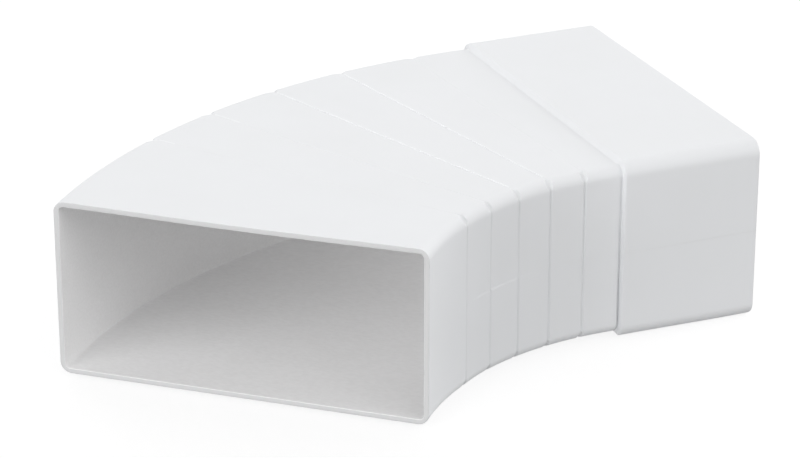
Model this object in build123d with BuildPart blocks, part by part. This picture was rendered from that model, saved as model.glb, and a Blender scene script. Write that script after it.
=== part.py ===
"""Flat duct elbow, moulded as one piece in white plastic (millimetres, +Z up).

A flat rectangular tube bends in the horizontal plane. One end is a plain spigot, the other is a
slightly larger straight socket that takes the spigot of the next piece of duct. Five score grooves
run all the way round the bend: the elbow is sawn along one of them to make a smaller angle.

The origin is the centre of the elbow's box on its underside. The spigot opens towards -Y, and the
duct runs towards +Y and turns towards +X.
"""
from build123d import *
from math import atan2, cos, degrees, radians, sin, sqrt
import os

# ---- driving dimensions -------------------------------------------------------------------------
body_width = 125.0        # outside width of the bent tube, in the plane of the bend
body_height = 60.0        # outside height of the bent tube
wall = 1.8                # wall of the bent tube
body_corner = 3.8         # outside corner radius of the tube's section
bore_corner = 1.5         # inside corner radius of the tube's section

bend_inner_radius = 101.5  # inner wall's outside face to the bend axis
bend_angle = 48.75        # full turn of the bend, degrees
spigot_straight = 2.5     # straight run in front of the bend
neck_straight = 6.6       # straight run between the bend and the socket

socket_length = 49.7      # outside length of the socket
socket_step = 1.7         # how far the socket stands proud of the tube, all round
socket_clearance = 0.2    # gap all round between a spigot and the socket
socket_corner = 5.0       # outside corner radius of the socket's section
socket_floor = 2.2        # length of the ledge that an inserted spigot stops against
step_round = 0.8          # rounding of the socket's rear edge
mouth_round = 0.35        # rounding of the outer edge of the socket's mouth
mouth_lead = 0.6          # lead-in chamfer inside the socket's mouth
rim_round = 0.3           # rounding of the spigot's rim

groove_angles = (14.7, 22.2, 29.7, 37.2, 44.7)         # score grooves, from the start of the bend
groove_depths = (0.22, 0.31, 0.45, 0.56, 0.61)         # their depths on the two sides
groove_depth_wide = 0.1   # their depth on the wide faces
groove_width = 1.3        # width of the V at the surface

# flat nick across each corner of the section at each groove: depth, width of its floor, width at the surface
nick_outer = (1.1, 4.0, 5.2)  # on the outer side of the bend
nick_inner = (0.6, 1.2, 2.2)  # on the inner side

# ---- derived places -----------------------------------------------------------------------------
turn = radians(bend_angle)
bend_outer_radius = bend_inner_radius + body_width
mid_radius = bend_inner_radius + body_width / 2
far = neck_straight + socket_length

# the elbow's box, seen from the bend axis, gives the place of the bend axis in the part's frame
x_low = -bend_outer_radius
x_high = -cos(turn) * (bend_inner_radius - socket_step) + sin(turn) * far
y_low = -spigot_straight
y_high = sin(turn) * (bend_outer_radius + socket_step) + cos(turn) * far
corner_loss = mouth_round * (cos(turn) + sin(turn) - 1)  # the mouth's rounding trims the box a little
x_high -= corner_loss
y_high -= corner_loss
bend_x = -(x_low + x_high) / 2
bend_y = -(y_low + y_high) / 2
mid_z = body_height / 2 + socket_step

bend_axis = Axis((bend_x, bend_y, 0), (0, 0, -1))
# section plane where the bend starts (looking out of the spigot) and where it ends (looking out of the socket)
start = Plane(origin=(bend_x - mid_radius, bend_y, mid_z), x_dir=(1, 0, 0), z_dir=(0, -1, 0))
end = Plane(
    origin=(bend_x - mid_radius * cos(turn), bend_y + mid_radius * sin(turn), mid_z),
    x_dir=(-cos(turn), sin(turn), 0),
    z_dir=(sin(turn), cos(turn), 0),
)

bore_width = body_width - 2 * wall
bore_height = body_height - 2 * wall
socket_width = body_width + 2 * socket_step
socket_height = body_height + 2 * socket_step
pocket_width = body_width + 2 * socket_clearance
pocket_height = body_height + 2 * socket_clearance

# ---- score grooves, centred on the tube's section: X is radial, Y is along the duct, Z is up -----
over = 1.12               # the V runs a little past the surface so that its lips are clean


def score_groove(depth):
    """The V that runs all the way round, with the given depth on the sides."""
    with BuildPart() as groove:
        with BuildSketch(Plane.XZ):
            Rectangle(body_width + 6, body_height + 6)
        extrude(amount=groove_width / 2 * over, both=True)
        for side in (-1, 1):
            with BuildSketch(Plane.XZ):
                RectangleRounded(
                    body_width - 2 * depth,
                    body_height - 2 * groove_depth_wide,
                    body_corner - (depth + groove_depth_wide) / 2,
                )
            with BuildSketch(Plane.XZ.offset(side * groove_width / 2 * over)):
                RectangleRounded(
                    body_width + 2 * depth * (over - 1),
                    body_height + 2 * groove_depth_wide * (over - 1),
                    body_corner + (depth + groove_depth_wide) / 2 * (over - 1),
                )
            loft(mode=Mode.SUBTRACT)
    return groove.part


grooves = [score_groove(depth) for depth in groove_depths]

with BuildPart() as nicks:
    for side, rise, (depth, floor_width, top_width) in (
        (1, 1, nick_outer),
        (1, -1, nick_outer),
        (-1, 1, nick_inner),
        (-1, -1, nick_inner),
    ):
        reach = (body_corner - depth) / sqrt(2)
        place = Plane(
            origin=(
                side * (body_width / 2 - body_corner + reach),
                0,
                rise * (body_height / 2 - body_corner + reach),
            ),
            x_dir=(0, 1, 0),
            z_dir=(side, 0, rise),
        )
        with BuildSketch(place):
            Rectangle(floor_width, 9)
        extrude(amount=depth + 1.0, taper=-degrees(atan2((top_width - floor_width) / 2, depth)))

# ---- the elbow -----------------------------------------------------------------------------------
with BuildPart() as duct_elbow:
    # outside of the bent tube: spigot run, bend, neck
    with BuildSketch(start):
        RectangleRounded(body_width, body_height, body_corner)
    revolve(axis=bend_axis, revolution_arc=bend_angle)
    with BuildSketch(start):
        RectangleRounded(body_width, body_height, body_corner)
    extrude(amount=spigot_straight)
    with BuildSketch(end):
        RectangleRounded(body_width, body_height, body_corner)
    extrude(amount=neck_straight + 1)

    # socket, with its rear edge rounded where it steps up from the neck
    with BuildSketch(end.offset(neck_straight)):
        RectangleRounded(socket_width, socket_height, socket_corner)
    extrude(amount=socket_length)
    rear_edges = [
        e
        for e in duct_elbow.edges()
        if abs(end.to_local_coords(e.center()).Z - neck_straight) < 1e-3
        and (
            abs(end.to_local_coords(e.center()).X) > body_width / 2 + 0.5
            or abs(end.to_local_coords(e.center()).Y) > body_height / 2 + 0.5
            or abs(e.length - socket_corner * 3.14159265 / 2) < 0.05
        )
    ]
    fillet(rear_edges, radius=step_round)

    # score grooves round the bend, each with its four nicks
    for angle, groove in zip(groove_angles, grooves):
        with Locations((bend_x, bend_y, mid_z)):
            with PolarLocations(mid_radius, 1, start_angle=180 - angle):
                add(groove, mode=Mode.SUBTRACT)
                add(nicks.part, mode=Mode.SUBTRACT)

    # the passage
    with BuildSketch(start):
        RectangleRounded(bore_width, bore_height, bore_corner)
    revolve(axis=bend_axis, revolution_arc=bend_angle, mode=Mode.SUBTRACT)
    with BuildSketch(start):
        RectangleRounded(bore_width, bore_height, bore_corner)
    extrude(amount=spigot_straight + 1, mode=Mode.SUBTRACT)
    with BuildSketch(end):
        RectangleRounded(bore_width, bore_height, bore_corner)
    extrude(amount=neck_straight + socket_floor + 1, mode=Mode.SUBTRACT)

    # the socket's pocket, down to the ledge
    with BuildSketch(end.offset(neck_straight + socket_floor)):
        RectangleRounded(pocket_width, pocket_height, body_corner - 0.1)
    extrude(amount=socket_length, mode=Mode.SUBTRACT)

    # rims
    rim_face = duct_elbow.faces().filter_by(Axis.Y).sort_by(Axis.Y)[0]
    fillet(rim_face.edges(), radius=rim_round)
    mouth_face = [
        f
        for f in duct_elbow.faces().filter_by(GeomType.PLANE)
        if abs(end.to_local_coords(f.center()).Z - far) < 1e-3
    ][0]
    fillet(mouth_face.outer_wire().edges(), radius=mouth_round)
    mouth_face = [
        f
        for f in duct_elbow.faces().filter_by(GeomType.PLANE)
        if abs(end.to_local_coords(f.center()).Z - far) < 1e-3
    ][0]
    chamfer(mouth_face.inner_wires()[0].edges(), length=mouth_lead)

duct_elbow.part.label = "duct_elbow"

os.makedirs("parts", exist_ok=True)
export_step(duct_elbow.part, "parts/duct_elbow.step")

box = duct_elbow.part.bounding_box()
print("solids", len(duct_elbow.part.solids()), "volume", round(duct_elbow.part.volume, 1))
print("box", box.min, box.max)
print("bend axis at", round(bend_x, 4), round(bend_y, 4), "mid height", mid_z)
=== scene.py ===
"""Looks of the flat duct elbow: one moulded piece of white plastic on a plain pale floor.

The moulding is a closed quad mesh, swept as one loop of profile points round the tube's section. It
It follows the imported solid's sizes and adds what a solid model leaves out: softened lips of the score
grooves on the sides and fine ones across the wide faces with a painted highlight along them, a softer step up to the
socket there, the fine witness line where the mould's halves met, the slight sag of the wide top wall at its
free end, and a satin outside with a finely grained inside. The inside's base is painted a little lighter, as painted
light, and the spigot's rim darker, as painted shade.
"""
import math

import bpy
import numpy as np
from mathutils import Matrix, Vector


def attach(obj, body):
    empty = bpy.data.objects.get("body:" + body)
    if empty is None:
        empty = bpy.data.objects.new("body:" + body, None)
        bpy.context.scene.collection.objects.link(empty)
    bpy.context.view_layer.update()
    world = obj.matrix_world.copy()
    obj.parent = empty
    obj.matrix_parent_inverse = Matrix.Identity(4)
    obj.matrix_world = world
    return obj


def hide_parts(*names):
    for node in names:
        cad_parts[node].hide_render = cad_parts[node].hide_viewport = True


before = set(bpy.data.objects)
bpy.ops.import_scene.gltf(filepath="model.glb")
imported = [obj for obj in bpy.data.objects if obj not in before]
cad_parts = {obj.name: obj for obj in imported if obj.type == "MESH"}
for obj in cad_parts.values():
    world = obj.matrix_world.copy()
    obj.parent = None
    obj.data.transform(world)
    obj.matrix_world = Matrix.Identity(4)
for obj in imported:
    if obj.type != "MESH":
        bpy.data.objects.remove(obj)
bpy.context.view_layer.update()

# ---- the elbow's own sizes, in millimetres -------------------------------------------------------
W, H = 125.0, 60.0             # outside of the bent tube
WALL = 1.8
RC_BODY, RC_BORE = 3.8, 1.5    # corner radii of the tube's section, outside and inside
RC_DEEP = 0.4                  # inside corners further in
R_IN = 101.5                   # inner side of the bend
TURN = 48.75
L0, L1 = 2.5, 6.6              # straight runs before and after the bend
LS = 49.7                      # socket
STEP, CLEAR = 1.7, 0.2
RC_SOCKET, RC_POCKET = 5.0, 3.7
LEDGE = 2.2
RAMP = (-0.9, 1.3)              # the step's run on the wide faces, from the socket's rear edge
STEP_ROUND, MOUTH_ROUND, MOUTH_LEAD, RIM_ROUND = 0.8, 0.35, 0.6, 0.3
GROOVES = (14.7, 22.2, 29.7, 37.2, 44.7)
G_HALF = 0.65                  # half the width of a groove
G_WIDE, G_SIDE = 0.2, 0.45     # its depth on the wide faces' edges and on the sides
G_LIP = (0.05, 0.08, 0.20, 0.20, 0.05)     # across the wide faces it is a fine sharp lip that fades out behind: the lip's height
G_SHARE = (0.5, 0.7, 1.0, 1.25, 1.35)      # the grooves' depths on the sides, as shares: the mould's ribs grow towards the socket
# each groove opens into a flat nick across each corner: depth, half width at the surface, half width of its floor
NICK_OUT, NICK_IN = (1.1, 2.6, 2.0), (0.6, 1.1, 0.6)    # on the outer and on the inner side of the bend

R_MID = R_IN + W / 2
R_OUT = R_IN + W
T = math.radians(TURN)
FAR = L1 + LS
trim = MOUTH_ROUND * (math.cos(T) + math.sin(T) - 1)
BX = -(-R_OUT - math.cos(T) * (R_IN - STEP) + math.sin(T) * FAR - trim) / 2
BY = -(-L0 + math.sin(T) * (R_OUT + STEP) + math.cos(T) * FAR - trim) / 2
MZ = H / 2 + STEP


# ---- section: points round a rounded rectangle, in a fixed order so that sections join -----------
def spread(n, extra=()):
    w = list(np.linspace(-1, 1, n + 1)[1:-1]) + list(extra)
    return np.array(sorted(w))


NC = 12                                            # facets in a corner
SEAM = (-1.0, -0.6, -0.4, -0.25, -0.12, 0.0, 0.12, 0.25, 0.4, 0.6, 1.0)   # heights round the mould's seam, mm
NEAR = (0.6, 1.3, 2.2)                             # extra points on the flats beside a corner, mm
side_w = spread(11, [z / 26.4 for z in SEAM] + [s * (1 - q / 26.2) for q in NEAR for s in (-1, 1)])      # up a side
side_w = side_w[np.r_[True, np.diff(side_w) > 1e-4]]
wide_w = spread(46, [s * (1 - q / 58.7) for q in NEAR for s in (-1, 1)])                                 # across the top or bottom
arc_w = np.linspace(0, math.pi / 2, NC + 1)


def section(o, rc):
    """(x, z, side) for the tube's section grown by o, with corner radius rc. x points away from the bend axis."""
    a, b = W / 2 + o, H / 2 + o
    u, v = a - rc, b - rc
    pts = []
    pts += [(a, w * v, 1) for w in side_w]                                              # outer side, upwards
    pts += [(u + rc * math.cos(t), v + rc * math.sin(t), 0) for t in arc_w]
    pts += [(-w * u, b, 0) for w in wide_w]                                             # top
    pts += [(-u - rc * math.sin(t), v + rc * math.cos(t), 0) for t in arc_w]
    pts += [(-a, -w * v, 1) for w in side_w]                                            # inner side, downwards
    pts += [(-u - rc * math.cos(t), -v - rc * math.sin(t), 0) for t in arc_w]
    pts += [(w * u, -b, 0) for w in wide_w]                                             # bottom
    pts += [(u + rc * math.sin(t), -v - rc * math.cos(t), 0) for t in arc_w]
    return np.array(pts)


def groove_weights():
    """For each section point: share of the side's depth, depth of the nick's floor, the nick's widths and their weight, share of the wide face."""
    ref = section(0.0, RC_BODY)
    qx, qz = np.abs(ref[:, 0]) - (W / 2 - RC_BODY), np.abs(ref[:, 1]) - (H / 2 - RC_BODY)
    turn = np.arctan2(np.maximum(qz, 0), np.maximum(qx, 0) + 1e-9)                       # 0 on a side, 90 degrees on a wide face
    deep, half, flat = (np.where(ref[:, 0] < 0, b, a) for a, b in zip(NICK_OUT, NICK_IN))
    on_arc = (qx > -1e-6) & (qz > -1e-6)
    level = np.where(on_arc, np.maximum(RC_BODY - (RC_BODY - deep) / np.cos(turn - math.pi / 4), 0), 0.0)
    j = np.clip((level - 0.1) / (0.5 * deep), 0, 1)
    on_flat = np.clip(-qx / 2.5, 0, 1) * (qz > -1e-6)
    return 1 - turn / (math.pi / 2), level, half, flat, j * j * (3 - 2 * j), on_flat


ON_SIDE, NICK_DEPTH, N_HALF, N_FLOOR, NICK, FLAT = groove_weights()


# ---- profile: one closed loop along the outside, round the mouth, back inside, round the spigot ---
loop = []                       # (kind, place, offset, corner radius, outside?)


def put(kind, place, o, rc, outside):
    loop.append((kind, place, o, rc, outside))


def rc_out(o):
    return RC_BODY + min(o, 0.0) if o <= 0 else RC_BODY + (RC_SOCKET - RC_BODY) * o / STEP


# spigot's rim, outer rounding
for a in np.radians([0, 22.5, 45, 67.5, 90]):
    o = -RIM_ROUND + RIM_ROUND * math.sin(a)
    put("run", -L0 + RIM_ROUND * (1 - math.cos(a)), o, rc_out(o), True)
for s in (-1.9, -1.2):
    put("run", s, 0.0, RC_BODY, True)
# bend with its score grooves
# a groove's profile: (distance from its middle in half widths, share from the nick's floor to its lip, share of the depth)
groove_profile = [(-1.75, -1.6, 0.0), (-1.35, -1.3, 0.0), (-1.16, -1.12, 0.0), (-1.06, -1.03, -0.018), (-0.95, -0.93, -0.085)]
groove_profile += [(-0.70, -0.62, -0.38), (-0.42, -0.30, -0.70), (-0.24, -0.10, -0.89), (-0.14, -0.0001, -0.97), (0.0, 0.0, -1.0)]
groove_profile += [(-d, -n, o) for d, n, o in reversed(groove_profile[:-1])]
rows = [("arc", t) for t in np.arange(0, TURN + 1e-6, 1.25) if t == 0 or min(abs(t - g) for g in GROOVES) > 1.9]
rows += [("cut", g) for g in GROOVES]
for kind, t in sorted(rows, key=lambda q: q[1]):
    if kind == "arc":
        put("arc", t, 0.0, RC_BODY, True)
    else:
        for d, n, o in groove_profile:
            put("cut", (t, d * G_HALF, n, GROOVES.index(t)), o, RC_BODY, True)
# neck, step and socket
for s in (1.5, 3.0, 4.4, 5.3):
    put("end", s, 0.0, RC_BODY, True)
step_rows = [(-0.78, 0.0), (-0.68, 0.0), (-0.58, 0.0), (-0.24, 0.0), (-0.1, 0.02), (-0.03, 0.09), (0.0, 0.22)]
for a in np.radians([0, 15, 30, 45, 60, 75, 90]):
    step_rows.append((STEP_ROUND * (1 - math.cos(a)), STEP - STEP_ROUND + STEP_ROUND * math.sin(a)))
for i, (s, o) in enumerate(step_rows):
    put("step", (s, i / (len(step_rows) - 1)), o, rc_out(o), True)
for s in np.linspace(L1 + STEP_ROUND + 0.7, FAR - 1.0, 18):
    put("end", s, STEP, RC_SOCKET, True)
for a in np.radians([90, 67.5, 45, 22.5, 0]):
    o = STEP - MOUTH_ROUND + MOUTH_ROUND * math.sin(a)
    put("end", FAR - MOUTH_ROUND * (1 - math.cos(a)), o, RC_SOCKET - (STEP - o), True)
# the mouth's flat and its lead-in, then the pocket down to the ledge
lead = CLEAR + MOUTH_LEAD
put("end", FAR, lead + 0.12, RC_POCKET + MOUTH_LEAD + 0.12, False)
put("end", FAR - 0.04, lead, RC_POCKET + MOUTH_LEAD, False)
put("end", FAR - 0.30, CLEAR + 0.30, RC_POCKET + 0.30, False)
put("end", FAR - MOUTH_LEAD + 0.05, CLEAR + 0.05, RC_POCKET + 0.05, False)
put("end", FAR - MOUTH_LEAD - 0.1, CLEAR, RC_POCKET, False)
for s in np.linspace(FAR - 3.0, L1 + LEDGE + 1.5, 15):
    put("end", s, CLEAR, RC_POCKET, False)
put("end", L1 + LEDGE + 0.25, CLEAR, RC_POCKET, False)
put("end", L1 + LEDGE + 0.06, CLEAR - 0.06, RC_POCKET - 0.06, False)
put("end", L1 + LEDGE, CLEAR - 0.25, RC_POCKET - 0.25, False)
put("end", L1 + LEDGE, -WALL + 0.3, RC_BORE + 0.3, False)
put("end", L1 + LEDGE - 0.08, -WALL + 0.07, RC_BORE + 0.07, False)
put("end", L1 + LEDGE - 0.3, -WALL, RC_BORE, False)
for s in (6.5, 4.5, 2.2):
    put("end", s, -WALL, RC_DEEP, False)
for t in reversed(np.arange(0, TURN + 1e-6, 1.25)):
    put("arc", t, -WALL, RC_BORE + (RC_DEEP - RC_BORE) * min(t / 4.0, 1.0), False)
for s in (-1.0, -1.8):
    put("run", s, -WALL, RC_BORE, False)
for a in np.radians([90, 67.5, 45, 22.5, 0]):
    o = -WALL + RIM_ROUND - RIM_ROUND * math.sin(a)
    put("run", -L0 + RIM_ROUND * (1 - math.cos(a)), o, RC_BORE + (o + WALL), False)


def along(kind, place):
    """Distance along the middle of the duct from the spigot's rim."""
    if kind == "run":
        return place + L0
    if kind == "arc":
        return L0 + math.radians(place) * R_MID
    if kind == "cut":
        return L0 + math.radians(place[0]) * R_MID + place[1]
    return L0 + T * R_MID + (L1 + place[0] if kind == "step" else place)


verts, inside_row = [], []
for kind, place, o, rc, outside in loop:
    if kind == "cut":
        # each point of the tube's section, moved inwards by its own depth of the groove
        sec = section(0.0, RC_BODY)
        x, z, side = sec[:, 0].copy(), sec[:, 1].copy(), sec[:, 2]
        nx, nz = np.sign(x) * np.maximum(np.abs(x) - (W / 2 - RC_BODY), 0), np.sign(z) * np.maximum(np.abs(z) - (H / 2 - RC_BODY), 0)
        size = np.hypot(nx, nz)
        depth = np.maximum(G_WIDE + (G_SIDE * G_SHARE[place[3]] - G_WIDE) * ON_SIDE, NICK_DEPTH)
        fade = 0.65 + 0.35 * np.sin(0.55 * x + 2.1 * place[3]) * np.cos(0.17 * x + place[3])
        lip = G_LIP[place[3]] * fade * np.interp(place[1] / G_HALF, (-0.24, 0.24, 1.75), (0.0, 1.0, 0.7))
        move = o * depth + (lip - o * depth) * FLAT
        x += move * nx / size
        z += move * nz / size
    else:
        sec = section(o, rc)
        x, z, side = sec[:, 0].copy(), sec[:, 1].copy(), sec[:, 2]
    d = along(kind, place)
    if outside and (kind != "cut" or o > -0.3):
        # witness line at half height, where the mould's halves meet a hair out of line: the upper half is the
        # smaller one along the first part of the bend, and the larger one, by less, from there on
        upper = 1 / (1 + np.exp(np.clip(-z / 0.11, -40, 40)))
        shift = 0.25 * math.exp(-(((d - 66) / 26.0) ** 2)) * (0.6 + 0.4 * math.cos((d - 55) * 0.967))
        shift -= 0.06 * min(max((d - 105) / 20.0, 0.0), 1.0)
        fade = np.clip((26 - np.abs(z)) / 20, 0, 1)
        x -= np.sign(x) * side * fade * (shift * upper if shift > 0 else -shift * (1 - upper))
    if kind == "step":
        # on the wide faces the step is a soft ramp
        ramp = np.clip(1 - 3 * ON_SIDE, 0, 1)
        ramp = ramp * ramp * (3 - 2 * ramp)
        u = place[1]
        z = z + np.sign(z) * ramp * (STEP * u * u * (3 - 2 * u) - o)
        run = L1 + place[0] + ramp * (RAMP[0] + (RAMP[1] - RAMP[0]) * u - place[0])
    if kind == "step" and -0.7 < place[0] < -0.01:
        # a fine sunk line at the foot of the step on the inner side, deepest at its lower end
        k = np.clip((14 - z) / 36, 0, 1)
        k = (0.22 + 0.78 * k * k * (3 - 2 * k)) * np.clip((z + 31) / 3, 0, 1) * np.clip((28 - z) / 4, 0, 1)
        x = x + 0.75 * k * (x < -W / 2 + RC_BODY + 1e-6) * (0.55 if place[0] < -0.6 else 1.0)
    # the wide top wall sags a little at its free end
    lift = np.clip((z / (H / 2) - 0.55) / 0.35, 0, 1)
    z = z - 0.42 * np.cos(np.clip(x / W, -0.5, 0.5) * math.pi) ** 2 * lift * lift * (3 - 2 * lift) * math.exp(-((d / 48.0) ** 2))
    # and the underside's inner edge stands a touch higher round the end of the bend
    low = np.clip((-z / (H / 2) - 0.2) / 0.6, 0, 1)
    inner_side = np.clip(0.5 - x / W, 0, 1)
    rise = np.clip((d - 38) / 30, 0, 1) * np.clip((192 - d) / 45, 0, 1)
    z = z + 0.5 * low * low * (3 - 2 * low) * inner_side * rise * rise * (3 - 2 * rise)
    rho = R_MID + x
    if kind == "run":
        px, py = -rho, np.full_like(rho, place)
    elif kind == "arc":
        t = math.radians(place)
        px, py = -rho * math.cos(t), rho * math.sin(t)
    elif kind == "cut":
        t = math.radians(place[0])
        in_nick = np.sign(place[2]) * N_FLOOR + (N_HALF - N_FLOOR) * place[2]
        steep = 1 - 0.75 * FLAT if abs(place[1]) < 0.25 * G_HALF else 1.0
        dl = place[1] * steep + (in_nick - place[1]) * NICK
        n = np.sqrt(rho**2 - dl**2)
        px, py = -n * math.cos(t) + dl * math.sin(t), n * math.sin(t) + dl * math.cos(t)
    else:
        run = run if kind == "step" else place
        px, py = -rho * math.cos(T) + run * math.sin(T), rho * math.sin(T) + run * math.cos(T)
    verts.append(np.stack([px + BX, py + BY, z + MZ], 1) / 1000)
    inside_row.append(not outside)

n_loop, n_sec = len(verts), len(verts[0])
co = np.concatenate(verts)
faces, inner = [], []
rim_shade_rows = {n_loop - 2, n_loop - 1, 0, 1}          # the flat of the spigot's rim and its outer edge, which carry the rim's painted shade
lip_highlight_rows = {i: row[1][3] for i, row in enumerate(loop) if row[0] == "cut" and -0.25 < row[1][1] / G_HALF < 0.45}
LIP_HIGHLIGHT_FROM = (52, 46, -70, -70, 70)                  # the painted highlight on the lip runs from here outwards across the face, groove by groove
across = section(0.0, RC_BODY)[:, 0]
for i in range(n_loop):
    i2 = (i + 1) % n_loop
    for j in range(n_sec):
        j2 = (j + 1) % n_sec
        faces.append((i * n_sec + j, i2 * n_sec + j, i2 * n_sec + j2, i * n_sec + j2))
        # faces along the lip get the painted highlight, the rim's faces the painted shade
        on_lip_highlight = i in lip_highlight_rows and min(FLAT[j], FLAT[j2]) > 0.5 and across[j] > LIP_HIGHLIGHT_FROM[lip_highlight_rows[i]]
        inner.append(3 if on_lip_highlight else 2 if i in rim_shade_rows else 1 if (inside_row[i] and inside_row[i2]) else 0)

mesh = bpy.data.meshes.new("elbow_moulding")
mesh.from_pydata(co.tolist(), [], faces)
mesh.validate()
tri = np.array([(f[0], f[1], f[2]) for f in faces] + [(f[0], f[2], f[3]) for f in faces])
p0, p1, p2 = co[tri[:, 0]], co[tri[:, 1]], co[tri[:, 2]]
vol = float(np.einsum("ij,ij->i", p0, np.cross(p1, p2)).sum() / 6)
if vol < 0:
    mesh.flip_normals()
for p in mesh.polygons:
    p.use_smooth = True
mesh.update()
elbow = bpy.data.objects.new("elbow_moulding", mesh)
bpy.context.collection.objects.link(elbow)
print("elbow_moulding", len(co), "verts", len(faces), "quads", "volume mm3", round(vol * 1e9))


# ---- materials -----------------------------------------------------------------------------------
def plastic(name, base, rough, grain_mm, grain_strength, seed, fleck=0.0):
    m = bpy.data.materials.new(name)
    m.use_nodes = True
    nt = m.node_tree
    nt.nodes.clear()
    out = nt.nodes.new("ShaderNodeOutputMaterial")
    bs = nt.nodes.new("ShaderNodeBsdfPrincipled")
    nt.links.new(bs.outputs[0], out.inputs[0])
    tc = nt.nodes.new("ShaderNodeTexCoord")

    def noise(size_mm, detail, off):
        mp = nt.nodes.new("ShaderNodeMapping")
        mp.inputs["Location"].default_value = (seed + off, seed * 0.7 - off, off * 1.3)
        nt.links.new(tc.outputs["Object"], mp.inputs["Vector"])
        nz = nt.nodes.new("ShaderNodeTexNoise")
        nz.inputs["Scale"].default_value = 1000.0 / size_mm
        nz.inputs["Detail"].default_value = detail
        nz.inputs["Roughness"].default_value = 0.55
        nt.links.new(mp.outputs["Vector"], nz.inputs["Vector"])
        return nz

    # faint mottling of the resin
    mott = noise(34.0, 3.0, 1.0)
    ramp = nt.nodes.new("ShaderNodeValToRGB")
    ramp.color_ramp.elements[0].position = 0.3
    ramp.color_ramp.elements[1].position = 0.7
    ramp.color_ramp.elements[0].color = (base[0] * 0.985, base[1] * 0.985, base[2] * 0.982, 1)
    ramp.color_ramp.elements[1].color = (base[0], base[1], base[2], 1)
    nt.links.new(mott.outputs["Fac"], ramp.inputs["Fac"])
    colour = ramp.outputs["Color"]
    if fleck:
        # short flecks of the grained surface, drawn out sideways
        fl = noise(0.75, 1.0, 5.0)
        fl.inputs["Vector"].links[0].from_node.inputs["Scale"].default_value = (0.4, 0.8, 1.0)
        fr = nt.nodes.new("ShaderNodeMapRange")
        fr.inputs["From Min"].default_value = 0.3
        fr.inputs["From Max"].default_value = 0.7
        fr.inputs["To Min"].default_value = 1.0 - fleck
        fr.inputs["To Max"].default_value = 1.0 + fleck
        nt.links.new(fl.outputs["Fac"], fr.inputs["Value"])
        mul = nt.nodes.new("ShaderNodeVectorMath")
        mul.operation = "SCALE"
        nt.links.new(colour, mul.inputs[0])
        nt.links.new(fr.outputs["Result"], mul.inputs["Scale"])
        colour = mul.outputs["Vector"]
    nt.links.new(colour, bs.inputs["Base Color"])
    # roughness that drifts a little
    rn = noise(9.0, 4.0, 2.0)
    mr = nt.nodes.new("ShaderNodeMapRange")
    mr.inputs["From Min"].default_value = 0.3
    mr.inputs["From Max"].default_value = 0.7
    mr.inputs["To Min"].default_value = rough - 0.05
    mr.inputs["To Max"].default_value = rough + 0.06
    nt.links.new(rn.outputs["Fac"], mr.inputs["Value"])
    nt.links.new(mr.outputs["Result"], bs.inputs["Roughness"])
    # moulded grain
    gn = noise(grain_mm, 2.0, 3.0)
    bump = nt.nodes.new("ShaderNodeBump")
    bump.inputs["Strength"].default_value = grain_strength
    bump.inputs["Distance"].default_value = 0.00005
    nt.links.new(gn.outputs["Fac"], bump.inputs["Height"])
    nt.links.new(bump.outputs["Normal"], bs.inputs["Normal"])
    bs.inputs["IOR"].default_value = 1.49
    return m


outer_mat = plastic("white_plastic_satin", (0.874, 0.884, 0.901), 0.6, 0.7, 0.12, 1.0)
# the spigot's rim: its base painted darker than the outside's, painted shade on the rim face, with a coarser grain of
# its own
rim_shade_mat = plastic("white_plastic_rim_painted_shade", (0.722, 0.724, 0.731), 0.6, 0.6, 0.2, 7.0)
# the inside: finely grained, its base painted a little lighter than the outside's, painted light in the duct
inner_lit_mat = plastic("white_plastic_grained_painted_light", (0.926, 0.923, 0.926), 0.62, 0.55, 0.5, 4.0, 0.025)
lip_highlight_mat = plastic("white_plastic_lip_painted_highlight", (0.953, 0.964, 0.983), 0.6, 0.7, 0.12, 2.0)       # painted highlight along the lip
mesh.materials.append(outer_mat)
mesh.materials.append(inner_lit_mat)
mesh.materials.append(rim_shade_mat)
mesh.materials.append(lip_highlight_mat)
mesh.polygons.foreach_set("material_index", inner)
mesh.update()

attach(elbow, "root")
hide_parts("duct_elbow")

# ---- floor ---------------------------------------------------------------------------------------
# a bright sheet: it carries the elbow's soft shadow, and its own light upwards is part of the studio light below
bpy.ops.mesh.primitive_plane_add(size=30, location=(0, 0, 0))
floor = bpy.context.object
floor.name = "floor"
fm = bpy.data.materials.new("pale_floor")
fm.use_nodes = True
fb = fm.node_tree.nodes["Principled BSDF"]
fb.inputs["Base Color"].default_value = (0.30, 0.30, 0.30, 1)
fb.inputs["Roughness"].default_value = 0.9
fb.inputs["Specular IOR Level"].default_value = 0.0
fb.inputs["Emission Color"].default_value = (1, 1, 1, 1)
fb.inputs["Emission Strength"].default_value = 0.76
floor.data.materials.append(fm)
fm.cycles.emission_sampling = "NONE"
floor.visible_diffuse = False
floor.visible_glossy = False
floor.visible_shadow = False

# ---- light ---------------------------------------------------------------------------------------
# a dark studio with large soft boxes round the table: (azimuth from the front, elevation, strength)
BOXES = (
    # front
    (-30, 10, 2.88), (-30, 38, 0.70), (0, 38, 0.35),
    # left
    (-60, 10, 0.22), (-120, 10, 0.50), (-120, 38, 0.86),
    # right
    (60, 38, 1.58), (90, 10, 0.84), (90, 38, 0.60),
    # behind, also shining through the socket
    (-150, -12, 0.45), (-150, 10, 0.24), (-150, 38, 0.67), (-180, 10, 0.25), (-180, 66, 0.33),
    (150, 10, 1.98), (150, 38, 0.59), (180, -12, 0.85),
)
FROM_BELOW, STRAIGHT_UP = 0.11, 0.36       # what the bright sheet sends up, all round and right below

world = bpy.data.worlds.new("studio")
world.use_nodes = True
bpy.context.scene.world = world
wt = world.node_tree
bg = wt.nodes["Background"]
ray = wt.nodes.new("ShaderNodeTexCoord")


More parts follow.
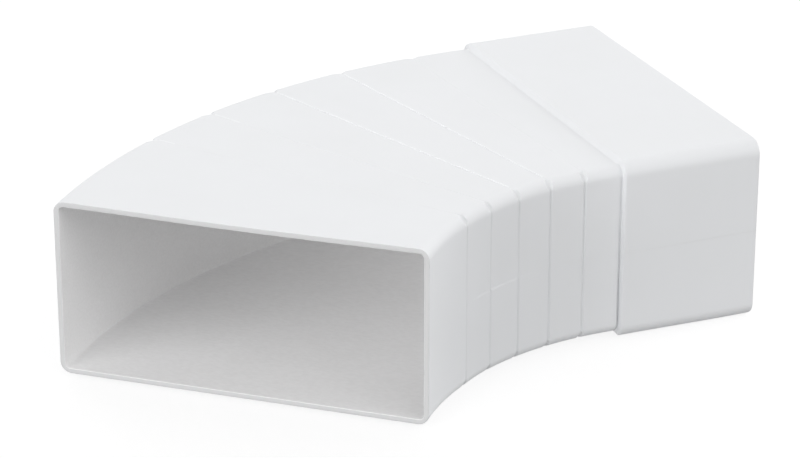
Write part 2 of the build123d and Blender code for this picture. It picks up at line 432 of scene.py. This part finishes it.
def lobe(direction, low, high, strength, total):
    """Light from around a direction: full at cosine high, none at cosine low. Returns the sum with total."""
    dot = wt.nodes.new("ShaderNodeVectorMath")
    dot.operation = "DOT_PRODUCT"
    dot.inputs[1].default_value = direction
    wt.links.new(ray.outputs["Generated"], dot.inputs[0])
    fall = wt.nodes.new("ShaderNodeMapRange")
    fall.interpolation_type = "SMOOTHSTEP"
    fall.inputs["From Min"].default_value = low
    fall.inputs["From Max"].default_value = high
    fall.inputs["To Min"].default_value = 0.0
    fall.inputs["To Max"].default_value = strength
    wt.links.new(dot.outputs["Value"], fall.inputs["Value"])
    if total is None:
        return fall.outputs["Result"]
    add = wt.nodes.new("ShaderNodeMath")
    add.operation = "ADD"
    wt.links.new(total, add.inputs[0])
    wt.links.new(fall.outputs["Result"], add.inputs[1])
    return add.outputs[0]


total = lobe((0, 0, -1), -0.08, 0.12, FROM_BELOW, None)
total = lobe((0, 0, -1), 0.26, 0.77, STRAIGHT_UP, total)
for az, el, strength in BOXES:
    a, e = math.radians(az), math.radians(el)
    where = (math.sin(a) * math.cos(e), -math.cos(a) * math.cos(e), math.sin(e))
    total = lobe(where, math.cos(math.radians(36)), math.cos(math.radians(8)), strength, total)
wt.links.new(total, bg.inputs["Strength"])
bg.inputs["Color"].default_value = (1, 1, 1, 1)

# ---- camera, at the photograph's viewing angle -----------------------------------------------------
AZ, EL = math.radians(18.07), math.radians(23.307)
DIST = 1047.027
back = Vector((math.sin(AZ) * math.cos(EL), -math.cos(AZ) * math.cos(EL), math.sin(EL)))
right = (-back).cross(Vector((0, 0, 1))).normalized()
up = right.cross(-back)
aim = Vector((-R_MID * math.cos(T / 2) + BX, R_MID * math.sin(T / 2) + BY, MZ)) + right * 14.691 + up * 1.725
eye = (aim + back * DIST) / 1000
cd = bpy.data.cameras.new("camera")
cd.sensor_width = 36.0
cd.lens = 3151.428 * 36.0 / 800.0
cd.clip_start, cd.clip_end = 0.01, 100
cam = bpy.data.objects.new("camera", cd)
bpy.context.collection.objects.link(cam)
cam.matrix_world = Matrix((
    (right.x, up.x, back.x, eye.x),
    (right.y, up.y, back.y, eye.y),
    (right.z, up.z, back.z, eye.z),
    (0, 0, 0, 1),
))
bpy.context.scene.camera = cam
bpy.context.scene.view_settings.view_transform = "Standard"
